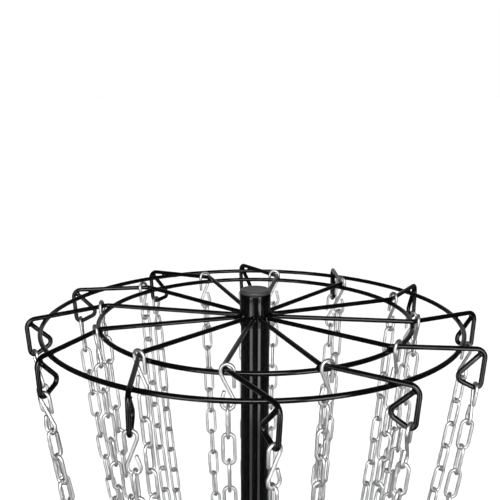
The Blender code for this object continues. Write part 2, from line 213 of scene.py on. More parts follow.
def add_world():
    """White to the camera; to everything else a studio: bright backdrop, dark ceiling, dim front."""
    world = bpy.data.worlds.new("studio")
    bpy.context.scene.world = world
    world.use_nodes = True
    tree = world.node_tree
    tree.nodes.clear()
    out = tree.nodes.new("ShaderNodeOutputWorld")
    switch = tree.nodes.new("ShaderNodeMixShader")
    path = tree.nodes.new("ShaderNodeLightPath")
    seen = tree.nodes.new("ShaderNodeBackground")
    seen.inputs["Color"].default_value = (1, 1, 1, 1)
    around = tree.nodes.new("ShaderNodeBackground")
    place = tree.nodes.new("ShaderNodeTexCoord")
    split = tree.nodes.new("ShaderNodeSeparateXYZ")
    front_to_back = ((0.0, 0.02), (0.30, 0.02), (0.55, 0.03), (0.88, 0.06), (0.97, 0.28), (1.0, 0.45))
    depth = ramp_node(tree, [(position, grey(value)) for position, value in front_to_back])
    rise = ramp_node(tree, [(0.66, grey(1)), (0.80, grey(0.5)), (1.0, grey(0.5))])
    dim = tree.nodes.new("ShaderNodeMix")
    dim.data_type = "RGBA"
    dim.blend_type = "MULTIPLY"
    dim.inputs["Factor"].default_value = 1.0
    halves = []
    for axis in ("Y", "Z"):
        half = tree.nodes.new("ShaderNodeMapRange")
        half.inputs["From Min"].default_value = -1
        half.inputs["From Max"].default_value = 1
        tree.links.new(split.outputs[axis], half.inputs["Value"])
        halves.append(half)
    tree.links.new(place.outputs["Generated"], split.inputs["Vector"])
    tree.links.new(halves[0].outputs["Result"], depth.inputs["Fac"])
    tree.links.new(halves[1].outputs["Result"], rise.inputs["Fac"])
    tree.links.new(depth.outputs["Color"], dim.inputs["A"])
    tree.links.new(rise.outputs["Color"], dim.inputs["B"])
    tree.links.new(dim.outputs["Result"], around.inputs["Color"])
    tree.links.new(path.outputs["Is Camera Ray"], switch.inputs["Fac"])
    tree.links.new(around.outputs["Background"], switch.inputs[1])
    tree.links.new(seen.outputs["Background"], switch.inputs[2])
    tree.links.new(switch.outputs["Shader"], out.inputs["Surface"])


def add_studio():
    add_world()
    # azimuth in degrees, distance, height of the centre, width, height, watts
    soft_box("soft_box_left", -31, 1.30, 1.08, 0.48, 0.64, 3.6)
    soft_box("soft_box_left_low", -31, 1.30, 0.43, 0.48, 0.66, 1.4)
    soft_box("soft_box_right", 33, 1.30, 1.08, 0.40, 0.64, 4.3)
    soft_box("soft_box_right_low", 33, 1.30, 0.43, 0.40, 0.66, 1.3)
    soft_box("soft_box_front", 0, 2.60, 2.22, 2.00, 1.50, 56)
    data = bpy.data.lights.new("overhead", "SUN")
    data.energy = 3.6
    data.angle = math.radians(50)
    overhead = bpy.data.objects.new("overhead", data)
    bpy.context.scene.collection.objects.link(overhead)
    overhead.rotation_euler = (math.radians(8), math.radians(-10), 0)
    overhead.visible_glossy = False
    bpy.context.scene.view_settings.view_transform = "Standard"
    mesh = bpy.data.meshes.new("floor")
    shape = bmesh.new()
    bmesh.ops.create_circle(shape, cap_ends=True, segments=96, radius=FLOOR_R)
    shape.to_mesh(mesh)
    shape.free()
    floor = bpy.data.objects.new("floor", mesh)
    bpy.context.scene.collection.objects.link(floor)
    mesh.materials.append(floor_material())
    floor.location.z = -FLOOR_GAP
    floor.visible_glossy = False


# ---------------------------------------------------------------- materials

class Nodes:
    """A material's Principled shader, and short calls that add texture nodes to it."""

    def __init__(self, name):
        self.material = bpy.data.materials.new(name)
        self.material.use_nodes = True
        self.tree = self.material.node_tree
        self.shader = self.tree.nodes["Principled BSDF"]
        self.place = self.add("ShaderNodeTexCoord").outputs["Object"]

    def add(self, kind):
        return self.tree.nodes.new(kind)

    def link(self, output, target):
        self.tree.links.new(output, target)

    def noise(self, scale, detail=3.0, roughness=0.5):
        node = self.add("ShaderNodeTexNoise")
        node.inputs["Scale"].default_value = scale
        node.inputs["Detail"].default_value = detail
        node.inputs["Roughness"].default_value = roughness
        self.link(self.place, node.inputs["Vector"])
        return node.outputs["Fac"]

    def ramp(self, value, stops):
        node = ramp_node(self.tree, stops)
        self.link(value, node.inputs["Fac"])
        return node.outputs["Color"]

    def mix(self, factor, a, b):
        node = self.add("ShaderNodeMix")
        node.data_type = "RGBA"
        self.link(factor, node.inputs["Factor"])
        self.link(a, node.inputs["A"])
        self.link(b, node.inputs["B"])
        return node.outputs["Result"]

    def spread(self, value, low, high, start=0.3, stop=0.7):
        node = self.add("ShaderNodeMapRange")
        node.inputs["From Min"].default_value = start
        node.inputs["From Max"].default_value = stop
        node.inputs["To Min"].default_value = low
        node.inputs["To Max"].default_value = high
        self.link(value, node.inputs["Value"])
        return node.outputs["Result"]

    def math(self, operation, a, b):
        node = self.add("ShaderNodeMath")
        node.operation = operation
        for socket, value in zip(node.inputs, (a, b)):
            if isinstance(value, (int, float)):
                socket.default_value = value
            else:
                self.link(value, socket)
        return node.outputs["Value"]

    def bump(self, height, strength, distance):
        node = self.add("ShaderNodeBump")
        node.inputs["Strength"].default_value = strength
        node.inputs["Distance"].default_value = distance
        self.link(height, node.inputs["Height"])
        self.link(node.outputs["Normal"], self.shader.inputs["Normal"])

    def set(self, socket, value):
        if isinstance(value, (int, float, tuple)):
            self.shader.inputs[socket].default_value = value
        else:
            self.link(value, self.shader.inputs[socket])


def black_coat_material(name, lump=0.0):
    """Glossy black powder coat: orange peel, faint cloudiness, a few dusty specks and scuffs."""
    nodes = Nodes(name)
    cloud = nodes.noise(38, 4)
    peel = nodes.noise(620, 2)
    speck = nodes.noise(1500, 1)
    scuff = nodes.noise(95, 7, 0.72)
    tone = nodes.ramp(cloud, [(0.3, grey(0.0010)), (0.7, grey(0.0022))])
    worn = nodes.ramp(nodes.noise(260, 3), [(0.3, grey(0.03)), (0.7, grey(0.055, 0.03))])
    marks = nodes.spread(scuff, 0.0, 0.55, 0.655, 0.72)
    nodes.set("Base Color", nodes.mix(marks, tone, worn))
    gloss = nodes.spread(cloud, 0.10, 0.15)
    nodes.set("Roughness", nodes.math("ADD", gloss, nodes.math("MULTIPLY", marks, 0.28)))
    nodes.set("IOR", 1.5)
    height = nodes.math("ADD", nodes.math("MULTIPLY", peel, 0.8), nodes.math("MULTIPLY", speck, 0.2))
    if lump:
        height = nodes.math("ADD", height, nodes.math("MULTIPLY", nodes.noise(260, 3), lump))
    nodes.bump(height, 0.14, 0.0002)
    return nodes.material


def zinc_material(name):
    """Bright zinc plate: soft cloudy brightness, fine drawn texture, dull spots."""
    nodes = Nodes(name)
    cloud = nodes.noise(110, 4)
    fine = nodes.noise(1400, 2)
    spots = nodes.noise(420, 5, 0.65)
    bright = nodes.ramp(cloud, [(0.3, (0.91, 0.92, 0.925)), (0.7, (0.96, 0.96, 0.955))])
    dull = nodes.ramp(fine, [(0.3, (0.66, 0.67, 0.68)), (0.7, (0.78, 0.78, 0.77))])
    marks = nodes.spread(spots, 0.0, 0.6, 0.66, 0.76)
    nodes.set("Base Color", nodes.mix(marks, bright, dull))
    nodes.set("Metallic", 1.0)
    gloss = nodes.spread(cloud, 0.40, 0.46)
    nodes.set("Roughness", nodes.math("ADD", gloss, nodes.math("MULTIPLY", marks, 0.15)))
    nodes.bump(nodes.math("ADD", fine, nodes.math("MULTIPLY", spots, 0.6)), 0.07, 0.0001)
    return nodes.material


def plastic_material(name, dark, light, grain, rough):
    """Moulded black plastic with a fine spark-eroded grain."""
    nodes = Nodes(name)
    cloud = nodes.noise(60, 3)
    fine = nodes.noise(grain, 2)
    nodes.set("Base Color", nodes.ramp(cloud, [(0.3, grey(dark)), (0.7, grey(light))]))
    nodes.set("Roughness", nodes.spread(fine, rough, rough + 0.14))
    nodes.bump(fine, 0.35, 0.0002)
    return nodes.material


def floor_material():
    nodes = Nodes("floor_paint")
    nodes.set("Base Color", nodes.ramp(nodes.noise(1.2, 3), [(0.3, grey(0.90)), (0.7, grey(0.93))]))
    nodes.set("Roughness", 0.9)
    nodes.set("Specular IOR Level", 0.0)
    return nodes.material


# ---------------------------------------------------------------- shapes

def polar(radius, angle, z=0.0):
    return Vector((radius * math.cos(angle), radius * math.sin(angle), z))


def fillet(before, corner, after, radius):
    """The centre of the arc that rounds a corner, and the vectors from it to the arc's two ends."""
    back = (before - corner).normalized()
    ahead = (after - corner).normalized()
    half = back.angle(ahead) / 2
    centre = corner + (back + ahead).normalized() * radius / math.sin(half)
    start = corner + back * radius / math.tan(half) - centre
    end = corner + ahead * radius / math.tan(half) - centre
    return centre, start, end


def rounded_path(corners, steps=8):
    """The points of a wire bent at each (point, fillet radius) of a list."""
    points = [corners[0][0]]
    for (before, _), (corner, radius), (after, _) in zip(corners, corners[1:], corners[2:]):
        centre, start, end = fillet(before, corner, after, radius)
        points += [centre + start.slerp(end, i / steps) * radius for i in range(steps + 1)]
    points.append(corners[-1][0])
    return points


def rounded_loop(corners, steps=4):
    """A closed outline of (radius, z) points, with each (radius, z, fillet) corner rounded."""
    points = []
    for i, (radius, z, round_r) in enumerate(corners):
        corner = Vector((radius, 0, z))
        before = Vector((corners[i - 1][0], 0, corners[i - 1][1]))
        following = corners[(i + 1) % len(corners)]
        after = Vector((following[0], 0, following[1]))
        if not round_r:
            points.append((radius, z))
            continue
        centre, start, end = fillet(before, corner, after, round_r)
        for step in range(steps + 1):
            point = centre + start.slerp(end, step / steps) * round_r
            points.append((point.x, point.z))
    return points


def evenly(points, spacing):
    """The same line with no two points further apart than spacing."""
    out = [points[0]]
    for a, b in zip(points, points[1:]):
        count = max(1, math.ceil((b - a).length / spacing))
        out += [a.lerp(b, i / count) for i in range(1, count + 1)]
    return out


def skin(shape, rings, closed=False):
    """Join rings of vertices into a tube; a ring of one vertex closes an end."""
    pairs = list(zip(rings, rings[1:]))
    if closed:
        pairs.append((rings[-1], rings[0]))
    for a, b in pairs:
        count = max(len(a), len(b))
        for i in range(count):
            j = (i + 1) % count
            corners = [a[i % len(a)], a[j % len(a)], b[j % len(b)], b[i % len(b)]]
            unique = [v for k, v in enumerate(corners) if v not in corners[:k]]
            if len(unique) > 2:
                shape.faces.new(unique)


def circle(shape, centre, radius, side, other, count):
    """New vertices round a centre, in the plane of two directions."""
    turns = [2 * math.pi * i / count for i in range(count)]
    return [shape.verts.new(centre + radius * (side * math.cos(turn) + other * math.sin(turn)))
            for turn in turns]


def wire_end(station, bulge):
    """The narrowing stations of a wire's rounded end, from the tip inwards."""
    point, tangent, side, size = station
    rounding = []
    for step in (3, 2, 1):
        turn = math.pi / 2 * step / 3.4
        rounding.append((point + tangent * size * bulge * (1 - math.sin(turn)), tangent, side,
                         size * math.cos(turn)))
    return rounding + [(point + tangent * size * bulge, tangent, side, size)]


def sweep(shape, points, radius, sides=14, closed=False, normal=None, ends=(0.35, 0.35)):
    """Skin a round wire onto shape along points. radius is a number or one number per point.

    ends gives how far each end bulges, in radii: 1 is a round end, 0.35 a cut end with its edge broken.
    """
    count = len(points)
    radii = list(radius) if isinstance(radius, (list, tuple)) else [radius] * count
    tangents = []
    for i in range(count):
        ahead = points[(i + 1) % count] if closed or i + 1 < count else points[i]
        behind = points[i - 1] if closed or i else points[i]
        tangents.append((ahead - behind).normalized())
    if normal is None:
        normal = tangents[0].orthogonal()
    stations = []
    for point, tangent, size in zip(points, tangents, radii):
        normal = (normal - tangent * normal.dot(tangent)).normalized()
        stations.append((point, tangent, normal, size))
    if not closed:
        head = wire_end(stations[0], ends[0])
        tail = wire_end(stations[-1], -ends[1])
        stations = head + stations[1:-1] + tail[::-1]
    rings = [circle(shape, point, size, side, tangent.cross(side), sides)
             for point, tangent, side, size in stations]
    if not closed:
        rings.insert(0, [shape.verts.new(points[0])])
        rings.append([shape.verts.new(points[-1])])
    skin(shape, rings, closed)


def ring_points(radius, z, count):
    return [polar(radius, 2 * math.pi * i / count, z) for i in range(count)]


def hoop(shape, radius, z, wire_r, seam_angle, centre=Vector(), count=288, sides=14):
    """A wire hoop; its butt weld makes it a little thicker at the seam."""
    radii = []
    for i in range(count):
        away = (2 * math.pi * i / count - seam_angle + math.pi) % (2 * math.pi) - math.pi
        radii.append(wire_r + 0.00035 * math.exp(-(away * radius / 0.0022) ** 2))
    points = [centre + point for point in ring_points(radius, z, count)]
    sweep(shape, points, radii, sides, closed=True, normal=UP)


def lathe(shape, outline, segments=72, closed=True):
    """Turn an outline of (radius, z) points about the pole's axis."""
    rings = []
    for radius, z in outline:
        if radius < 1e-6:
            rings.append([shape.verts.new((0, 0, z))])
        else:
            rings.append([shape.verts.new(point) for point in ring_points(radius, z, segments)])
    skin(shape, rings, closed)


def turned_tube(shape, outer, inner, bottom, top, edge=0.0006, segments=72):
    lathe(shape, rounded_loop([(outer, top, edge), (outer, bottom, edge), (inner, bottom, edge / 2),
                               (inner, top, edge / 2)]), segments)


def bead(shape, centre, size, axis, seed, subdivisions=2, rough=0.16):
    """A lump of weld: size gives its half lengths across, across and along the axis."""
    turn = axis.to_track_quat("Z", "Y").to_matrix()
    made = bmesh.ops.create_icosphere(shape, subdivisions=subdivisions, radius=1)["verts"]
    offset = Vector((seed * 7.31, seed * 3.17, seed * 1.73))
    for vert in made:
        swell = 1 + rough * noise.noise(vert.co * 1.9 + offset)
        local = Vector((vert.co.x * size[0], vert.co.y * size[1], vert.co.z * size[2]))
        vert.co = centre + turn @ (local * swell)


def weld_round(shape, centre, axis, radius, lump, count, seed, sink=0.3):
    """Overlapping lumps of weld around a round bar."""
    side = axis.orthogonal().normalized()
    other = axis.cross(side)
    for i in range(count):
        turn = 2 * math.pi * i / count
        out = side * math.cos(turn) + other * math.sin(turn)
        size = lump * (1 + 0.22 * noise.noise(Vector((seed * 2.7, i * 1.9, 0.3))))
        place = centre + out * (radius + size * sink)
        bead(shape, place, (size, size * 0.85, size), axis, seed + i * 0.37, 1)


def piece(name, shape, material, body, nodes, sharp=38):
    """Make shape a smooth-shaded object that rides on a body and stands for CAD nodes."""
    bmesh.ops.recalc_face_normals(shape, faces=shape.faces)
    for face in shape.faces:
        face.smooth = True
    for edge in shape.edges:
        edge.smooth = edge.calc_face_angle(0) < math.radians(sharp)
    mesh = bpy.data.meshes.new(name)
    shape.to_mesh(mesh)
    shape.free()
    mesh.materials.append(material)
    item = bpy.data.objects.new(name, mesh)
    bpy.context.scene.collection.objects.link(item)
    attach(item, body)
    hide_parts(*nodes)
    return item


def coated(name, shape, body, *nodes, material=None):
    return piece(name, shape, material or BLACK, body, nodes)


# ---------------------------------------------------------------- chain support

def arm_bends(index):
    """The inner bend and the tip of an arm, and the level direction from one to the other."""
    angle = ARM_FIRST_ANGLE + index * 2 * math.pi / ARM_COUNT
    lift = 2 * WIRE_R + GAP
    bend = polar(INNER_RING_R, angle)
    tip = polar(ARM_TIP_R, angle + ARM_SKEW)
    run = (tip - bend).length
    level = (tip - bend) / run
    inside = bend - OUTER_RING_CENTRE
    run_to_ring = math.sqrt(OUTER_RING_R ** 2 - inside.cross(level).length ** 2) - inside.dot(level)
    bend.z = OUTER_RING_Z + INNER_RING_LIFT + lift
    tip.z = bend.z - INNER_RING_LIFT * run / run_to_ring
    return angle, bend, tip, level, run_to_ring


def hook_corners(tip, level):
    toe = tip - level * HOOK_LEG_IN - UP * HOOK_LEG_DOWN
    heel = tip - level * HOOK_HEEL_IN - UP * HOOK_HEEL_DOWN
    return toe, heel


def arm_path(index):
    angle, bend, tip, level, _ = arm_bends(index)
    toe, heel = hook_corners(tip, level)
    root = polar(HUB_SLEEVE_R + GAP, angle, OUTER_RING_Z + ARM_HUB_LIFT)
    end = tip + (heel - tip).normalized() * HOOK_END_TRIM
    return rounded_path([(root, 0), (bend, INNER_BEND_FILLET), (tip, HOOK_TOP_FILLET), (toe, HOOK_TOE_FILLET),
                         (heel, HOOK_HEEL_FILLET), (end, 0)])


def add_arm(index):
    name = f"support_arm_{index + 1:02d}"
    angle, bend, tip, level, run_to_ring = arm_bends(index)
    path = arm_path(index)
    shape = bmesh.new()
    sweep(shape, evenly(path, 0.012), WIRE_R, 16)
    coated(name + "_wire", shape, "chain_head", name)
    welds = bmesh.new()
    outward = polar(1, angle)
    root = path[0]
    weld_round(welds, root + outward * 0.0012, outward, WIRE_R, 0.0017, 9, index)
    bead(welds, root - UP * 0.0042 + outward * 0.0006, (0.0030, 0.0022, 0.0017), outward, index + 0.5)
    along = (tip - bend).normalized()
    crossing = bend + along * (run_to_ring + 0.0002)
    crossing.z = OUTER_RING_Z + WIRE_R + 0.0002
    tangent = UP.cross((crossing - OUTER_RING_CENTRE).xy.to_3d().normalized())
    for k, way in enumerate((-1, 1)):
        side = tangent * way
        bead(welds, crossing + side * 0.0021, (0.0017, 0.0021, 0.0012), UP, index * 3 + k)
    inner = bend.copy()
    inner.z = OUTER_RING_Z + INNER_RING_LIFT + WIRE_R + 0.0002
    tangent = UP.cross(outward)
    for k, way in enumerate((-1, 1)):
        bead(welds, inner + tangent * way * 0.0023 - outward * 0.001, (0.0019, 0.0022, 0.0012), UP,
             index * 5 + k)
    end = path[-1]
    back = (path[-2] - end).normalized()
    weld_round(welds, end + back * 0.0006, back, WIRE_R * 0.85, 0.0013, 8, index + 40)
    coated(name + "_welds", welds, "chain_head", name, material=WELD)


def add_hub_cap(base):
    """A plastic cap on the hub sleeve: a shallow dish inside its rim, and a plug down into the pole."""
    top = base + HUB_CAP_THICKNESS
    outer = HUB_SLEEVE_R
    rim = outer - 0.0036
    plug = POLE_R - POLE_WALL - GAP
    outline = [(0, top - 0.0005), (rim * 0.5, top - 0.0004), (rim - 0.0016, top - 0.0003),
               (rim - 0.0006, top - 0.0001), (rim, top), (outer - 0.0018, top - 0.0001),
               (outer - 0.0009, top - 0.0006), (outer - 0.0002, top - 0.0015), (outer, top - 0.0026),
               (outer, base + 0.0004), (outer - 0.0004, base), (plug, base), (plug - 0.0004, base - 0.010),
               (plug - 0.002, base - 0.010), (plug - 0.0018, base + 0.001), (0, base + 0.001)]
    shape = bmesh.new()
    lathe(shape, outline, 96, closed=False)
    piece("hub_cap_plug", shape, CAP, "chain_head", ["hub_cap"], 50)


def add_support():
    shape = bmesh.new()
    sleeve_top = OUTER_RING_Z + HUB_SLEEVE_TOP
    turned_tube(shape, HUB_SLEEVE_R, POLE_R + GAP, OUTER_RING_Z + HUB_SLEEVE_BOTTOM, sleeve_top, 0.0008, 96)
    coated("hub_sleeve_tube", shape, "chain_head", "hub_sleeve")
    add_hub_cap(sleeve_top + GAP)
    shape = bmesh.new()
    hoop(shape, OUTER_RING_R, OUTER_RING_Z, WIRE_R, 2.05, OUTER_RING_CENTRE)
    coated("outer_ring_wire", shape, "chain_head", "outer_ring")
    shape = bmesh.new()
    hoop(shape, INNER_RING_R, OUTER_RING_Z + INNER_RING_LIFT, WIRE_R, 2.35)
    coated("inner_ring_wire", shape, "chain_head", "inner_ring")
    for i in range(ARM_COUNT):
        add_arm(i)


# ---------------------------------------------------------------- chains

def catenary(span, rise, length):
    """A hanging chain from (0, 0) up to (span, rise): a function from arc length to its point."""
    target = math.sqrt(length ** 2 - rise ** 2)
    low = span / 100
    high = span * 100
    for _ in range(80):
        scale = (low + high) / 2
        if 2 * scale * math.sinh(span / 2 / scale) > target:
            low = scale
        else:
            high = scale
    bottom = span / 2 - scale * math.asinh(rise / (2 * scale * math.sinh(span / 2 / scale)))
    start = math.sinh(bottom / scale)

    def at(arc):
        out = bottom + scale * math.asinh(arc / scale - start)
        return out, scale * (math.cosh((out - bottom) / scale) - math.cosh(bottom / scale))

    return at


def chain_top(index, inner):
    """The centre of the wire that a chain's S-hook hangs on, and the hook's level sideways direction."""
    _, bend, tip, level, _ = arm_bends(index)
    side = UP.cross(level)
    if inner:
        outset = (tip - bend).normalized() * INNER_CHAIN_OUTSET
        return bend + outset, Matrix.Rotation(INNER_HOOK_TURN, 3, "Z") @ side
    toe, heel = hook_corners(tip, level)
    centre, _, _ = fillet(tip, toe, heel, HOOK_TOE_FILLET)
    return centre - UP * HOOK_TOE_FILLET, side


def s_hook_path(top, side, down, half, play):
    """The S-hook's centre line: tip, arch over the hung-on wire, slanting shank, closed lower loop."""
    crown = -(WIRE_R + S_HOOK_R + play)
    # sideways, down from the wire's centre, fillet radius
    corners = [(half, 0.0215, 0), (half, crown, half), (-half, crown, half), (-half, 0.0050, 0.006),
               (half, 0.0360, 0.006), (half, S_HOOK_DROP, half), (-half, S_HOOK_DROP, half),
               (-half, 0.0380, 0.008), (-0.0036, 0.0248, 0)]
    return rounded_path([(top + side * s + down * d, r) for s, d, r in corners], 7)


def add_link(shape, top, bottom, across, weld_side):
    """A welded chain link between the centre lines of its two crowns; across is its width's direction."""
    along = (bottom - top).normalized()
    across = (across - along * across.dot(along)).normalized()
    centre = (top + bottom) / 2
    half = (LINK_LENGTH - LINK_WIDTH) / 2
    bend = LINK_WIDTH / 2
    points = []
    radii = []
    for way in (1, -1):
        for step in range(9):
            turn = math.pi * step / 8
            points.append(centre + along * way * (half + bend * math.sin(turn))
                          + across * way * bend * math.cos(turn))
            radii.append(LINK_R)
        seam = weld_side == way
        for place, swell in ((0.35, 0), (0.14, 0.02), (0.07, 0.11), (0.0, 0.15), (-0.07, 0.11), (-0.14, 0.02),
                             (-0.35, 0)):
            if seam or abs(place) > 0.3:
                points.append(centre + along * way * place * 2 * half - across * way * bend)
                radii.append(LINK_R * (1 + swell))
    sweep(shape, points, radii, 10, closed=True, normal=along.cross(across))


def add_chain(index, inner, turned):
    """One strand: S-hook, then welded links down to the chain ring, each turned a quarter from the last."""
    name = f"{'inner' if inner else 'outer'}_chain_{index + 1:02d}"
    draw = random.Random(name)
    top, side = chain_top(index, inner)
    length = S_HOOK_REACH + CHAIN_LINKS * LINK_PITCH
    outward = top.xy.to_3d().normalized()
    at = catenary(top.xy.length - CHAIN_RING_R, top.z - CHAIN_RING_Z, length)

    def place(arc):
        out, up = at(arc)
        return outward * (CHAIN_RING_R + out) + UP * (CHAIN_RING_Z + up)

    down = (place(length - S_HOOK_DROP) - top).normalized()
    side = (side - down * side.dot(down)).normalized() * (-1 if turned else 1)
    if not inner:
        side = Matrix.Rotation(draw.uniform(-0.08, 0.08), 3, down) @ side
    hook = bmesh.new()
    path = s_hook_path(top, side, down, *(INNER_ARCH if inner else OUTER_ARCH))
    sweep(hook, path, S_HOOK_R, normal=down.cross(side), ends=(0.8, 0.4))
    piece(name + "_s_hook", hook, ZINC, name, [name])

    level = UP.cross(outward)
    first = down.cross(side)
    start = math.atan2(first.dot(level), first.dot(level.cross(down)))
    drift = -(start + (CHAIN_LINKS - 1) * math.pi / 2)
    drift = (drift + math.pi / 2) % math.pi - math.pi / 2
    strand = bmesh.new()
    for k in range(CHAIN_LINKS):
        upper = length - FIRST_CROWN - k * LINK_PITCH
        a = place(upper)
        b = place(upper - LINK_LENGTH)
        along = (b - a).normalized()
        turn = start + k * math.pi / 2 + drift * k / (CHAIN_LINKS - 1)
        if 0 < k < CHAIN_LINKS - 1:
            turn += draw.uniform(-0.13, 0.13)
        across = level.cross(along) * math.cos(turn) + level * math.sin(turn)
        add_link(strand, a, b, across, draw.choice((1, -1)))
    piece(name + "_links", strand, ZINC, name, [name])


def add_chains():
    for i in range(ARM_COUNT):
        add_chain(i, False, i in OUTER_HOOKS_TURNED)
        add_chain(i, True, False)


def hex_head(shape, start, end, radius):
    """A hexagonal bolt head on its washer face, its outer edge chamfered, along the front direction."""
    rings = []
    for share, scale in ((0.0, 0.97), (0.06, 1.0), (0.72, 1.0), (1.0, 0.86)):
        rings.append(circle(shape, start.lerp(end, share), radius * scale, UP, FRONT.cross(UP), 6))
    rings.insert(0, [shape.verts.new(start)])
    rings.append([shape.verts.new(end - FRONT * 0.0002)])
    skin(shape, rings)


def disc(shape, start, end, radius, edge=0.0004, segments=40):
    """A round disc or boss with broken edges."""
    axis = (end - start).normalized()
    inset = axis * edge
    points = [start, start + inset, end - inset, end]
    side = axis.orthogonal().normalized()
    rings = [circle(shape, point, size, side, axis.cross(side), segments)
             for point, size in zip(points, (radius - edge, radius, radius, radius - edge))]
    rings.insert(0, [shape.verts.new(start)])
    rings.append([shape.verts.new(end)])
    skin(shape, rings)


def add_chain_ring():
    shape = bmesh.new()
    turned_tube(shape, COLLAR_R, POLE_R + GAP, COLLAR_BOTTOM_Z, COLLAR_TOP_Z, 0.0010)
    coated("chain_collar_tube", shape, "chain_head", "chain_collar")
    ring = bmesh.new()
    hoop(ring, CHAIN_RING_R, CHAIN_RING_Z, WIRE_R, 1.2, count=120)
    welds = bmesh.new()
    for i in range(4):
        turn = math.radians(45 + 90 * i)
        inner = polar(COLLAR_R + 2 * GAP, turn, CHAIN_RING_Z)
        outer = polar(CHAIN_RING_R, turn, CHAIN_RING_Z)
        sweep(ring, evenly([inner, outer], 0.01), WIRE_R * 0.9, 12)
        out = polar(1, turn)
        weld_round(welds, inner + out * 0.0008, out, WIRE_R * 0.85, 0.0015, 9, 70 + i)
        weld_round(welds, outer - out * 0.0030, out, WIRE_R * 0.75, 0.0012, 8, 80 + i)
    coated("chain_ring_wire", ring, "chain_head", "chain_ring")
    coated("chain_ring_welds", welds, "chain_head", "chain_ring", material=WELD)
    bolt = bmesh.new()
    seat = FRONT * (COLLAR_R + 0.0001) + UP * COLLAR_BOLT_Z
    disc(bolt, seat, seat + FRONT * 0.0007, 0.0058, 0.0002)
    hex_head(bolt, seat + FRONT * 0.0006, seat + FRONT * 0.0041, 0.0053)
    piece("collar_bolt_head", bolt, ZINC, "chain_head", ["collar_bolt"], 25)


# ---------------------------------------------------------------- pole

def add_pole():
    inner_r = POLE_R - POLE_WALL
    spigot_r = inner_r - GAP
    lower = bmesh.new()
    lathe(lower, rounded_loop([(POLE_R, POLE_JOINT_Z, 0.0005), (POLE_R, POLE_FOOT_Z, 0.0005),
                               (inner_r, POLE_FOOT_Z, 0.0003), (inner_r, POLE_JOINT_Z, 0.0003)]), 96)
    coated("lower_pole_tube", lower, "lower_section", "lower_pole")
    upper = bmesh.new()
    top = OUTER_RING_Z + HUB_SLEEVE_TOP - POLE_TOP_DROP
    shoulder = POLE_JOINT_Z + GAP
    tip = POLE_JOINT_Z - SPIGOT_LENGTH
    lathe(upper, rounded_loop([(POLE_R, top, 0.0004), (POLE_R, shoulder, 0.0006), (spigot_r, shoulder, 0),
                               (spigot_r, tip + 0.004, 0.002), (spigot_r - 0.0008, tip, 0.0003),
                               (spigot_r - POLE_WALL, tip, 0.0003), (spigot_r - POLE_WALL, top, 0.0003)]), 96)
    coated("upper_pole_tube", upper, "chain_head", "upper_pole")
    stop = bmesh.new()
    turned_tube(stop, TRAY_STOP_R, POLE_R + GAP, TRAY_STOP_BOTTOM_Z, TRAY_SLEEVE_BOTTOM_Z - GAP, 0.0015)
    coated("tray_stop_collar", stop, "lower_section", "tray_stop")


# ---------------------------------------------------------------- tray

def tray_wire_corners(angle):
    top_r = TRAY_RIM_R - TRAY_RIM_WIRE_R - TRAY_WIRE_R - GAP
    return [(polar(top_r, angle, TRAY_RIM_Z + TRAY_WIRE_R), 0),
            (polar(TRAY_FLOOR_R, angle, TRAY_FLOOR_Z), TRAY_CORNER_FILLET),
            (polar(TRAY_WIRE_FOOT_R, angle, TRAY_FLOOR_Z), 0)]


def tray_side_r(z):
    """The radius of a hoop outside the tray's wires at height z."""
    top_r = TRAY_RIM_R - TRAY_RIM_WIRE_R - TRAY_WIRE_R - GAP
    share = (z - TRAY_FLOOR_Z) / (TRAY_RIM_Z + TRAY_WIRE_R - TRAY_FLOOR_Z)
    return TRAY_FLOOR_R + share * (top_r - TRAY_FLOOR_R) + 2 * TRAY_WIRE_R + 2 * GAP


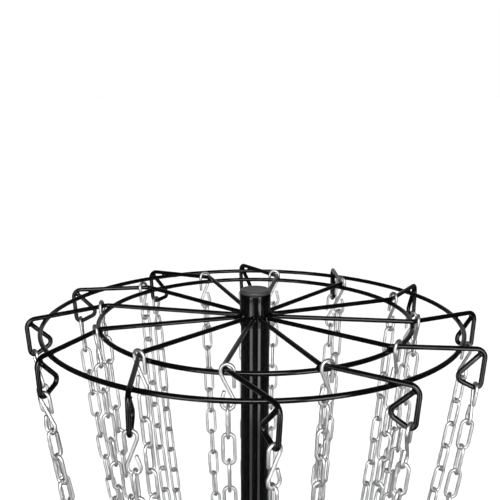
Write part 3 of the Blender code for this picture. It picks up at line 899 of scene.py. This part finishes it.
def add_tray():
    floor_ring_z = TRAY_FLOOR_Z - 2 * TRAY_WIRE_R - GAP
    for name, radius, z, wire_r, seam in (
            ("tray_rim", TRAY_RIM_R, TRAY_RIM_Z, TRAY_RIM_WIRE_R, 1.9),
            ("tray_side_ring", tray_side_r(TRAY_SIDE_RING_Z), TRAY_SIDE_RING_Z, TRAY_WIRE_R, 2.1),
            ("tray_corner_ring", tray_side_r(TRAY_CORNER_RING_Z), TRAY_CORNER_RING_Z, TRAY_WIRE_R, 2.3),
            ("tray_floor_ring", TRAY_FLOOR_RING_R, floor_ring_z, TRAY_WIRE_R, 1.7)):
        shape = bmesh.new()
        hoop(shape, radius, z, wire_r, seam)
        coated(name + "_wire", shape, "tray", name)
    cage = bmesh.new()
    hub_top = TRAY_FLOOR_Z + TRAY_HUB_THICKNESS / 2
    hub_bottom = TRAY_FLOOR_Z - TRAY_HUB_THICKNESS / 2
    lathe(cage, rounded_loop([(TRAY_HUB_R, hub_top, 0.0012), (TRAY_HUB_R, hub_bottom, 0.0012),
                              (SLEEVE_R + GAP, hub_bottom, 0.0004), (SLEEVE_R + GAP, hub_top, 0.0004)]), 120)
    welds = bmesh.new()
    for i in range(TRAY_WIRE_COUNT):
        angle = 2 * math.pi * i / TRAY_WIRE_COUNT
        out = polar(1, angle)
        around = UP.cross(out)
        sweep(cage, evenly(rounded_path(tray_wire_corners(angle)), 0.02), TRAY_WIRE_R, 12)
        foot = polar(TRAY_HUB_R + 0.0006, angle, TRAY_FLOOR_Z)
        weld_round(welds, foot, out, TRAY_WIRE_R * 0.85, 0.0014, 8, i)
        spots = [(polar(tray_side_r(z) - TRAY_WIRE_R - GAP, angle, z), UP)
                 for z in (TRAY_SIDE_RING_Z, TRAY_CORNER_RING_Z)]
        spots.append((polar(TRAY_RIM_R - TRAY_RIM_WIRE_R, angle, TRAY_RIM_Z), UP))
        spots.append((polar(TRAY_FLOOR_RING_R, angle, TRAY_FLOOR_Z - TRAY_WIRE_R - GAP / 2), out))
        for k, (spot, axis) in enumerate(spots):
            for way in (-1, 1):
                seed = i * 4.1 + k + way * 0.3
                bead(welds, spot + around * way * 0.0018, (0.0015, 0.0013, 0.0019), axis, seed)
    coated("tray_cage", cage, "tray", "tray_wires")
    coated("tray_cage_welds", welds, "tray", "tray_wires", material=WELD)
    sleeve = bmesh.new()
    turned_tube(sleeve, SLEEVE_R, POLE_R + GAP, TRAY_SLEEVE_BOTTOM_Z, TRAY_SLEEVE_TOP_Z, 0.0010, 96)
    add_boss(sleeve, TRAY_KNOB_Z)
    coated("tray_sleeve_tube", sleeve, "tray", "tray_sleeve")
    seam = bmesh.new()
    for z in (hub_top, hub_bottom):
        weld_round(seam, UP * z, UP, SLEEVE_R, 0.0016, 52, z * 90)
    weld_round(seam, FRONT * (SLEEVE_R + 0.0004) + UP * TRAY_KNOB_Z, FRONT, BOSS_R, 0.0014, 26, 7)
    coated("tray_sleeve_welds", seam, "tray", "tray_sleeve", material=WELD)
    add_knob("tray_lock_knob", TRAY_KNOB_Z)


def add_boss(shape, z):
    """A drilled boss on the front of a sleeve."""
    root = BOSS_OUT_R - POLE_R - 0.0015
    points = [(0.0005, SCREW_R + GAP), (0.0, SCREW_R + 0.0008), (0.0, BOSS_R - 0.0006), (0.0006, BOSS_R),
              (root, BOSS_R), (root, SCREW_R + GAP)]
    rings = [circle(shape, FRONT * (BOSS_OUT_R - back) + UP * z, radius, RIGHT, UP, 40)
             for back, radius in points]
    skin(shape, rings, closed=True)


def add_knob(name, z):
    """A five-lobed hand knob on a threaded screw; both turn with the knob's body."""
    count = KNOB_LOBES * 20
    layers = [(0.0, 0.0085, 0.0), (0.0, 0.0100, 0.0), (0.0015, 0.0105, 0.0), (0.0035, 0.0110, 0.1),
              (0.0040, KNOB_R - 0.0016, 0.8), (0.0046, KNOB_R - 0.0005, 1.0), (0.0058, KNOB_R, 1.0),
              (0.0105, KNOB_R, 1.0), (0.0122, KNOB_R - 0.0006, 1.0), (0.0134, KNOB_R - 0.0020, 1.0),
              (KNOB_THICKNESS, KNOB_R - 0.0048, 0.8), (KNOB_THICKNESS, 0.0098, 0.1),
              (0.0136, 0.0090, 0.0), (0.0132, 0.0084, 0.0)]
    shape = bmesh.new()
    rings = []
    for out, radius, lobed in layers:
        ring = []
        for i in range(count):
            turn = 2 * math.pi * i / count
            size = radius - KNOB_LOBE * lobed * (1 - math.cos(KNOB_LOBES * turn))
            centre = FRONT * (KNOB_START_R + out) + UP * z
            ring.append(shape.verts.new(centre + size * Vector((math.cos(turn), 0, math.sin(turn)))))
        rings.append(ring)
    rings.insert(0, [shape.verts.new(FRONT * KNOB_START_R + UP * z)])
    rings.append([shape.verts.new(FRONT * (KNOB_START_R + 0.0131) + UP * z)])
    skin(shape, rings)
    piece(name + "_grip", shape, KNOB, name, [name], 50)
    add_knob_screw(name, z)


def add_knob_screw(name, z):
    """A knob's screw, from the pole's wall out into the grip, with a shallow thread near its thin tip."""
    per_turn = 8
    sides = 32
    start = POLE_R + GAP
    steps = round((KNOB_START_R + 0.0010 - start) / SCREW_PITCH * per_turn)
    shape = bmesh.new()
    rings = []
    for k in range(steps + 1):
        centre = FRONT * (start + SCREW_PITCH * k / per_turn) + UP * z
        ring = []
        for i in range(sides):
            wave = abs(((k / per_turn + i / sides) % 1) * 2 - 1)
            depth = THREAD_DEPTH * wave * (1 if k > 6 else 0.4)
            size = SCREW_R - depth - (0.0006 if k < 3 else 0)
            turn = 2 * math.pi * i / sides
            ring.append(shape.verts.new(centre + size * Vector((math.cos(turn), 0, math.sin(turn)))))
        rings.append(ring)
    rings.insert(0, [shape.verts.new(FRONT * start + UP * z)])
    rings.append([shape.verts.new(FRONT * (start + SCREW_PITCH * steps / per_turn) + UP * z)])
    skin(shape, rings)
    piece(name + "_screw", shape, ZINC, name, [name], 60)


# ---------------------------------------------------------------- base

def add_base():
    bore = POLE_R + GAP
    plate_top = SOCKET_FLOOR_Z + SOCKET_PLATE
    socket = bmesh.new()
    lathe(socket, rounded_loop([(SLEEVE_R, SOCKET_TOP_Z, 0.0010), (SLEEVE_R, plate_top, 0),
                                (SOCKET_FOOT_R, plate_top, 0.0012), (SOCKET_FOOT_R, SOCKET_FLOOR_Z, 0.0008),
                                (bore * 0.4, SOCKET_FLOOR_Z, 0.0005), (bore * 0.4, plate_top, 0.0005),
                                (bore, plate_top, 0), (bore, SOCKET_TOP_Z, 0.0005)]), 96)
    add_boss(socket, BASE_KNOB_Z)
    coated("base_socket_tube", socket, "base", "base_socket")
    seam = bmesh.new()
    weld_round(seam, UP * (plate_top + 0.0004), UP, SLEEVE_R, 0.0021, 48, 3)
    weld_round(seam, FRONT * (SLEEVE_R + 0.0004) + UP * BASE_KNOB_Z, FRONT, BOSS_R, 0.0014, 26, 9)
    coated("base_socket_welds", seam, "base", "base_socket", material=WELD)
    ring = bmesh.new()
    lathe(ring, rounded_loop([(GROUND_RING_OUTER_R, GROUND_RING_HEIGHT, 0.0030),
                              (GROUND_RING_OUTER_R, 0, 0.0016), (GROUND_RING_INNER_R, 0, 0.0016),
                              (GROUND_RING_INNER_R, GROUND_RING_HEIGHT, 0.0030)], 6), 288)
    coated("ground_ring_tube", ring, "base", "ground_ring")
    for i in range(LEG_COUNT):
        name = f"base_leg_{i + 1}"
        turn = math.radians(45) + i * 2 * math.pi / LEG_COUNT
        start = polar(SLEEVE_R + GAP, turn, LEG_SOCKET_Z)
        knee = polar(LEG_KNEE_R, turn, LEG_GROUND_Z)
        end = polar(GROUND_RING_INNER_R - 2 * GAP, turn, LEG_GROUND_Z)
        path = rounded_path([(start, 0), (knee, LEG_FILLET), (end, 0)], 16)
        leg = bmesh.new()
        sweep(leg, evenly(path, 0.015), LEG_R, 28, ends=(0.05, 0.05))
        coated(name + "_tube", leg, "base", name)
        welds = bmesh.new()
        out = (path[1] - path[0]).normalized()
        weld_round(welds, start + out * 0.0022, out, LEG_R * 0.97, 0.0019, 22, 20 + i)
        weld_round(welds, end - polar(0.0012, turn), polar(1, turn), LEG_R * 0.80, 0.0014, 24, 30 + i)
        coated(name + "_welds", welds, "base", name, material=WELD)
    add_knob("base_lock_knob", BASE_KNOB_Z)


BLACK = black_coat_material("black_coat")
WELD = black_coat_material("black_coat_on_weld", lump=1.2)
ZINC = zinc_material("zinc_plate")
CAP = plastic_material("cap_plastic", 0.035, 0.048, 1500, 0.34)
KNOB = plastic_material("knob_plastic", 0.014, 0.020, 1800, 0.42)

add_camera()
add_studio()
add_support()
add_chains()
add_chain_ring()
add_pole()
add_tray()
add_base()
